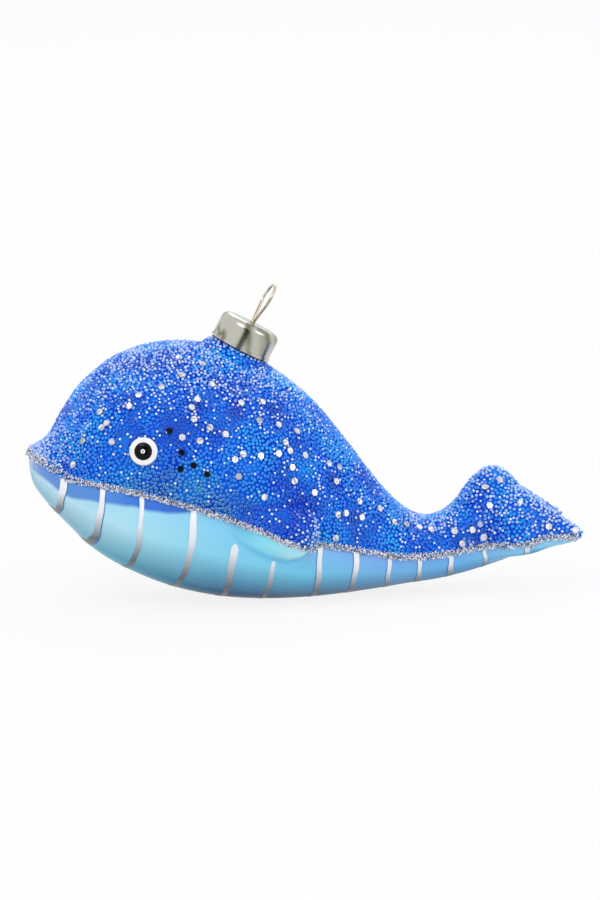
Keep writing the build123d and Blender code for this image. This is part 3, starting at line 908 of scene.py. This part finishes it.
def make_beads(shell, seats):
    """The coat of beads over the blue lacquer, in a few pieces from head to tail."""
    def coated(points):
        over = points[:, 2] - heights_at(points[:, 0], line_height)
        return (over > BEAD_LINE_GAP) & far_from_fittings(points, seats)

    spots, normals, rng = scatter(shell, coated, BEAD_SPACING, BEAD_TRIES, BEAD_SEED)
    radius = rng.uniform(*BEAD_RADII, len(spots)) * MM
    frames = frames_of(normals, rng)
    centres = spots + normals * (radius * BEAD_STAND_SHARE)[:, None]
    places, rise = spots[:, 0], normals[:, 2]
    over = (spots[:, 2] - heights_at(places, line_height)) / MM
    luck = rng.random(len(spots))
    # Painted light from below: low grows where beads face down and on the low cheek under the eye
    field = ramped(places, FIELD_START, FIELD_FADE) * ramped(-places, -FIELD_END, FIELD_FADE)
    low = held(held(UNDERLIT_START - rise * UNDERLIT_RISE) + field * held(FIELD_MOST - over / FIELD_HEIGHT))
    fin = fin_mask(spots, BEADED_FIN_SHARE)
    reach = fin_place(spots)[0]
    luck = held(luck + fin * np.clip((reach - TIP_START) * TIP_RISE, 0, TIP_MOST))
    # Painted highlights: likelier where beads face up, on the tail, the nose and a fin's tip
    chance = HIGHLIGHT_LEAST + HIGHLIGHT_TOP * ramped(rise, TOP_START, TOP_FADE)
    chance += HIGHLIGHT_TAIL * ramped(places, TAIL_START, TAIL_FADE)
    chance += HIGHLIGHT_NOSE * ramped(-places, NOSE_START, NOSE_FADE)
    chance += HIGHLIGHT_FIN * fin * ramped(reach, FIN_TIP_START, FIN_TIP_FADE)
    painted_highlight = held((chance - rng.random(len(spots))) * HIGHLIGHT_SHARPNESS)
    values = {"luck": luck, "rise": rise, "low": low, "fin": fin, "painted_highlight": painted_highlight}
    ball, faces = make_ball()
    pieces = []
    for name, start, end in BEAD_PIECES:
        inside = (places >= start) & (places < end)
        chosen = {key: value[inside] for key, value in values.items()}
        piece = copies(name, ball, faces, centres[inside], frames[inside], radius[inside], chosen)
        piece.data.shade_smooth()
        pieces.append(piece)
    return pieces


# Glitter: seed, grains on the flanks, gaps at nose and tips, the line's half width and crowding
GLITTER_SEED, FLANK_GRAINS = 23, 6200
NOSE_GAP, TIP_GAP = 0.4 * MM, 1.2 * MM
LINE_HALF_WIDTH, LINE_CROWDING = 0.85 * MM, 1.1

# Grains round the nose, where the line turns across, and the rounds that find its height
FRONT_GRAINS, FRONT_ROUNDS = 420, 3
FRONT_REACH, FRONT_START = 11 * MM, 5 * MM

# A grain: lift and radius in millimetres, tilt, corners and half thickness in shares of the radius
GRAIN_LIFTS, GRAIN_RADII, GRAIN_TILT = (0.15, 0.80), (0.20, 0.34), 0.45
GRAIN_SHARES = ((1, 0), (0.5, 0.87), (-0.5, 0.87), (-1, 0), (-0.5, -0.87), (0.5, -0.87))
GRAIN_THICK_SHARE = 0.28


def make_glitter(tree):
    """Silver grains along the line, on both flanks and round the nose."""
    rng = np.random.default_rng(GLITTER_SEED)
    hits = []
    xs = rng.uniform(NOSE_X + NOSE_GAP, -NOSE_X - TIP_GAP, FLANK_GRAINS)
    sides = rng.choice((-1, 1), FLANK_GRAINS)
    drops = rng.uniform(-1, 1, FLANK_GRAINS)
    drops = np.sign(drops) * np.abs(drops) ** LINE_CROWDING * LINE_HALF_WIDTH
    for x, side, drop in zip(xs, sides, drops):
        source = Vector((x, side * RAY_START, line_height(x) + drop))
        hits.append(tree.ray_cast(source, Vector((0, -side, 0))))
    for y, drop in zip(rng.uniform(-1, 1, FRONT_GRAINS) * FRONT_REACH, drops):
        height = line_height(NOSE_X)
        for _ in range(FRONT_ROUNDS):
            hit = tree.ray_cast(Vector((NOSE_X - FRONT_START, y, height + drop)), Vector((1, 0, 0)))
            if hit[0] is None:
                break
            height = line_height(hit[0].x)
        hits.append(hit)
    spots, normals = (np.array([hit[i][:] for hit in hits if hit[0] is not None]) for i in range(2))
    lift = rng.uniform(*GRAIN_LIFTS, len(spots)) * MM
    size = rng.uniform(*GRAIN_RADII, len(spots)) * MM
    tilt = normals + rng.normal(scale=GRAIN_TILT, size=normals.shape)
    tips = [(0, 0, GRAIN_THICK_SHARE), (0, 0, -GRAIN_THICK_SHARE)]
    shape = np.array([(x, y, 0) for x, y in GRAIN_SHARES] + tips, float)
    ring = range(len(GRAIN_SHARES))
    top, bottom = len(ring), len(ring) + 1
    faces = [(i, (i + 1) % top, top) for i in ring] + [((i + 1) % top, i, bottom) for i in ring]
    centres = spots + normals * lift[:, None]
    return copies("glitter_grains", shape, np.array(faces), centres, frames_of(tilt, rng), size, {})


# Stripes: along at the line, along under the belly, and how far below the line they start
STRIPE_SHARES = (
    (0.0436, 0.040, 0.00), (0.109, 0.095, 0.00), (0.176, 0.166, 0.00), (0.268, 0.252, 0.00),
    (0.342, 0.338, 0.19), (0.414, 0.414, 0.23), (0.503, 0.506, 0.00), (0.572, 0.577, 0.00),
    (0.638, 0.647, 0.00), (0.697, 0.709, 0.00), (0.761, 0.766, 0.00), (0.825, 0.834, 0.00),
    (0.900, 0.903, 0.00),
)
STRIPE_SEED, STRIPE_STEPS, STRIPE_ACROSS = 100, 60, 8
STRIPE_TOP_GAP, STRIPE_LEAST_DEPTH = 0.6 * MM, 1 * MM
PAINT_LIFT = 0.06 * MM

# A stripe's half width and how it changes from stripe to stripe, its lean and its rounded end
STRIPE_HALF_WIDTH, WIDTH_SWING, WIDTH_BEAT = 0.74 * MM, 0.14 * MM, 2.1
STRIPE_LEAN, STRIPE_END_STEPS, STRIPE_END_SHARE = 1.2, 3.0, 0.02

# How a hand-painted stripe wavers and swells: how much and how often
WAVERS = ((0.16 * MM, 9), (0.08 * MM, 23))
SWELLS = ((0.12, 7), (0.07, 19))

# Stripes before the first have their shadow on the tail side, those after the second on the nose side
TAIL_SHADED, NOSE_SHADED = 2, 5


def waves(table, turn, phases, start):
    """A start plus a sum of waves."""
    return sum((size * sin(beat * turn + phase) for (size, beat), phase in zip(table, phases)), start)


def make_stripe(index, tree):
    """One painted stripe, from the line on one flank under the belly to the line on the other."""
    top, low, drop = STRIPE_SHARES[index]
    phases = np.random.default_rng(STRIPE_SEED + index).uniform(0, 2 * pi, len(WAVERS + SWELLS))
    width = STRIPE_HALF_WIDTH + WIDTH_SWING * sin(index * WIDTH_BEAT)
    shaded = int(index < TAIL_SHADED) - int(index > NOSE_SHADED)
    steps, across = STRIPE_STEPS, STRIPE_ACROSS
    start = asin(drop)
    points, depths, shadows = [], [], []
    for i in range(2 * steps + 1):
        turn = i / steps - 1
        reach = 1 - abs(turn)
        x = along(low + (top - low) * (1 - reach) ** STRIPE_LEAN)
        side = -1 if turn < 0 else 1
        height = line_height(x) - STRIPE_TOP_GAP
        depth = max(height - belly_height(x), STRIPE_LEAST_DEPTH)
        angle = start + (pi / 2 - start) * reach
        aim = Vector((0, side * cos(angle), -sin(angle)))
        edge = min(1.0, reach * steps / STRIPE_END_STEPS) if drop else 1.0
        half = width * sqrt(max(STRIPE_END_SHARE, edge * (2 - edge)))
        half *= waves(SWELLS, turn, phases[2:], 1)
        middle = x + waves(WAVERS, turn, phases, 0)
        for j in range(across + 1):
            shift = 2 * j / across - 1
            source = Vector((middle + half * shift, 0, height))
            hit, normal, _, _ = tree.ray_cast(source, aim)
            if hit is None:
                hit, normal = source, aim
            if normal.dot(aim) < 0:
                normal = -normal
            points.append(hit + normal * PAINT_LIFT)
            shadows.append(shaded * shift)
            depths.append(held((height - hit.z) / depth))
    faces = []
    for i in range(2 * steps):
        for j in range(across):
            a = i * (across + 1) + j
            faces.append((a, a + 1, a + across + 2, a + across + 1))
    stripe = new_object("stripe_%02d" % (index + 1), points, faces)
    add_values(stripe.data, belly_depth=depths, shadow=shadows)
    return stripe


RIM_STEPS = 8


def make_neck():
    """The open glass tube that the cap sits on."""
    inner = NECK_RADIUS - NECK_WALL
    half_wall = NECK_WALL / 2
    rim = arc((NECK_RADIUS - half_wall, NECK_TOP - half_wall), half_wall, half_wall, pi, RIM_STEPS)
    profile = [(NECK_RADIUS, -COLLAR_DEPTH / 2)] + rim + [(inner, -COLLAR_DEPTH)]
    return new_object("glass_neck", *turned(profile, SEAT, NECK_AXIS, loops=True))


# The eye's disc and the pupil's dome: radius, height over what they lie on, and reach below it
DISC_RADIUS, DISC_RISE, DISC_SUNK = 3.65 * MM, 1.3 * MM, 0.5 * MM
DISC_EDGE, DISC_STEPS = 0.5 * MM, 6
DOME_RADIUS, DOME_RISE, DOME_SUNK = 2.32 * MM, 0.6 * MM, 0.1 * MM
DOME_STEPS, EYE_SIDES, AXIS_GAP = 12, 64, 0.02 * MM

# The glint, a small white ring on the dome, as a section from its inner foot to its inner edge
GLINT_PROFILE = (
    (0.2 * MM, -0.1 * MM), (0.62 * MM, -0.12 * MM), (0.5704 * MM, 0.035 * MM), (0.372 * MM, 0.07 * MM),
    (0.2 * MM, 0.042 * MM))
GLINT_SIDES = 32


def lathe(name, profile, origin, axis):
    """A closed turned piece."""
    obj = new_object(name, *turned(profile, origin, axis, EYE_SIDES))
    face_outwards(obj.data)
    return obj


def make_eye(name, seat, materials):
    """White disc with a rounded edge, black dome on it and a white glint on the dome."""
    middle, normal = seat
    corner = (DISC_RADIUS - DISC_EDGE, DISC_RISE - DISC_EDGE)
    edge = arc(corner, DISC_EDGE, DISC_EDGE, pi / 2, DISC_STEPS)
    profile = [(AXIS_GAP, -DISC_SUNK), (DISC_RADIUS, -DISC_SUNK)] + edge + [(AXIS_GAP, DISC_RISE)]
    disc = lathe("eye_disc_" + name, profile, middle, normal)
    dress(disc, materials["eye"], "whale", ["eye_" + name])

    foot = DISC_RISE - DOME_SUNK
    crown = DISC_RISE + DOME_RISE
    curve = arc((0, DISC_RISE), DOME_RADIUS, DOME_RISE, pi / 2, DOME_STEPS)[:-1]
    profile = [(AXIS_GAP, foot), (DOME_RADIUS, foot)] + curve + [(AXIS_GAP, crown)]
    dome = lathe("pupil_dome_" + name, profile, middle, normal)
    dress(dome, materials["pupil"], "whale", ["pupil_" + name])

    ring = turned(GLINT_PROFILE, middle + normal * crown, normal, GLINT_SIDES, loops=True)
    dress(new_object("glint_" + name, *ring), materials["eye"], "whale")


# The floor: size, drop below the object, and how much of it shows as plain white
FLOOR_SIZE, FLOOR_DROP, FLOOR_WHITE = 6, 0.2 * MM, 0.86

# The dark card
CARD_PLACE = (-0.42, -1.42, 0.12)
CARD_WIDTH, CARD_HEIGHT = 0.5, 1.4

# The world's strength on the object and what is added where it is seen
WORLD_STRENGTH, WORLD_SEEN = 0.87, 0.15

# Lamps, all of one size and aimed at one point: name, place, power
LAMPS = (
    ("key", (-0.55, -0.75, 0.95), 4.1),
    ("fill", (0.75, -0.65, 0.45), 1.7),
    ("rim", (0.25, 0.85, 0.75), 2.0),
)
LAMP_SIZE = 0.5
LAMP_AIM = Vector((0, 0, 0.03))


def seen_directly(tree):
    """1 for rays from the camera and for those that metal or glass has turned."""
    rays = tree.nodes.new("ShaderNodeLightPath")
    seen = math_node(tree, "MAXIMUM", rays.outputs["Is Camera Ray"], rays.outputs["Is Glossy Ray"])
    return math_node(tree, "MAXIMUM", seen, rays.outputs["Is Transmission Ray"])


def make_floor():
    """A pale floor that shows as white and keeps the object's shadow."""
    bpy.ops.mesh.primitive_plane_add(size=FLOOR_SIZE, location=(0, 0, -FLOOR_DROP))
    floor = bpy.context.object
    floor.name = "floor"
    settings = {"Base Color": (0.8, 0.8, 0.8, 1), "Roughness": 0.9, "Specular IOR Level": 0.1}
    material, tree, shader = new_material("floor_white", settings)
    glow = tree.nodes.new("ShaderNodeEmission")
    blend = tree.nodes.new("ShaderNodeMixShader")
    tree.links.new(scaled(tree, seen_directly(tree), FLOOR_WHITE), blend.inputs[0])
    tree.links.new(shader.outputs[0], blend.inputs[1])
    tree.links.new(glow.outputs[0], blend.inputs[2])
    tree.links.new(blend.outputs[0], tree.nodes["Material Output"].inputs[0])
    floor.data.materials.append(material)


def make_card():
    """A dark card before the object, which only metal and gloss show."""
    bpy.ops.mesh.primitive_plane_add(size=1, location=CARD_PLACE)
    card = bpy.context.object
    card.name = "dark_card"
    card.scale = (CARD_WIDTH, CARD_HEIGHT, 1)
    card.rotation_euler = (-Vector(CARD_PLACE)).to_track_quat("Z", "Y").to_euler()
    card.visible_camera = card.visible_diffuse = card.visible_shadow = False
    settings = {"Base Color": (0.01, 0.01, 0.01, 1), "Specular IOR Level": 0.0}
    card.data.materials.append(new_material("card_black", settings)[0])


def make_light():
    """The white world and plain soft lamps."""
    world = bpy.data.worlds.new("studio")
    bpy.context.scene.world = world
    world.use_nodes = True
    tree = world.node_tree
    background = tree.nodes["Background"]
    background.inputs["Color"].default_value = (1, 1, 1, 1)
    strength = scaled(tree, seen_directly(tree), WORLD_SEEN, WORLD_STRENGTH)
    tree.links.new(strength, background.inputs["Strength"])
    for name, place, power in LAMPS:
        lamp = bpy.data.lights.new(name, "AREA")
        lamp.size = LAMP_SIZE
        lamp.energy = power
        obj = linked(name, lamp)
        obj.location = place
        obj.rotation_euler = (LAMP_AIM - Vector(place)).to_track_quat("-Z", "Y").to_euler()


# The photograph's frame in pixels and where it puts the object
FRAME_WIDTH, FRAME_HEIGHT = 600, 900
CENTRE_COLUMN, BASE_ROW = 302.3, 592.6
PIXELS_PER_METRE = 3815.0
CAMERA_AZIMUTH, CAMERA_ELEVATION = -10.0, 10.0
LENS, SENSOR = 500.0, 36.0
VIEW_END = 100


def make_camera():
    """A long lens at the photograph's angle."""
    a, e = radians(CAMERA_AZIMUTH), radians(CAMERA_ELEVATION)
    back = Vector((sin(a) * cos(e), -cos(a) * cos(e), sin(e)))
    right = Vector((cos(a), sin(a), 0))
    up = back.cross(right)
    across = (FRAME_WIDTH / 2 - CENTRE_COLUMN) / PIXELS_PER_METRE
    rise = (BASE_ROW - FRAME_HEIGHT / 2) / PIXELS_PER_METRE
    distance = LENS / SENSOR * FRAME_HEIGHT / PIXELS_PER_METRE
    data = bpy.data.cameras.new("camera")
    data.lens = LENS
    data.sensor_width = SENSOR
    data.clip_end = VIEW_END
    camera = linked("camera", data)
    camera.location = right * across + up * rise + back * distance
    camera.rotation_euler = back.to_track_quat("Z", "Y").to_euler()
    bpy.context.scene.camera = camera


make_camera()
make_floor()
make_card()
make_light()
bpy.context.scene.view_settings.view_transform = "Standard"

materials = {
    "lacquer": lacquer(),
    "beads": bead_glass(),
    "stripes": stripe_silver(),
    "cap": satin_metal(),
    "wire": wire_metal(),
    "eye": gloss("eye_white", (228, 226, 230), (240, 240, 242), roughness=0.2, specular=0.5),
    "pupil": gloss("pupil_black", (2, 2, 3), (8, 8, 10), roughness=0.1, specular=0.14),
    # The glitter's faint glow is painted light
    "glitter": grain_foil("glitter", GLITTER_RAMP, roughness=0.35, metallic=0.3, glow=0.05),
    "silver": grain_foil("silver_foil", FLAKE_RAMP, roughness=0.25, metallic=0.4, glow=0.0),
    "black": gloss("black_foil", (2, 2, 6), (8, 8, 16), roughness=0.3, specular=0.12),
}

shell = make_shell()
shell_tree = BVHTree.FromObject(shell, bpy.context.evaluated_depsgraph_get())
seats = {"right": eye_seat(shell_tree, -1), "left": eye_seat(shell_tree, 1)}
open_neck(shell)
mark_shell(shell)
dress(shell, materials["lacquer"], "whale", ["glass_body"])
dress(make_neck(), materials["lacquer"], "whale", ["glass_neck"])

for piece in make_beads(shell, seats.values()):
    dress(piece, materials["beads"], "whale", ["bead_coat"])
dress(make_glitter(shell_tree), materials["glitter"], "whale", ["glitter_line"])
for number in range(len(STRIPE_SHARES)):
    dress(make_stripe(number, shell_tree), materials["stripes"], "whale")
for name, seat in seats.items():
    make_eye(name, seat, materials)

for node, key in (("cap", "cap"), ("hanger_wire", "wire"),
                  ("silver_confetti_right", "silver"), ("silver_confetti_left", "silver"),
                  ("black_confetti_right", "black"), ("black_confetti_left", "black")):
    node_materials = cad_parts[node].data.materials
    node_materials.clear()
    node_materials.append(materials[key])
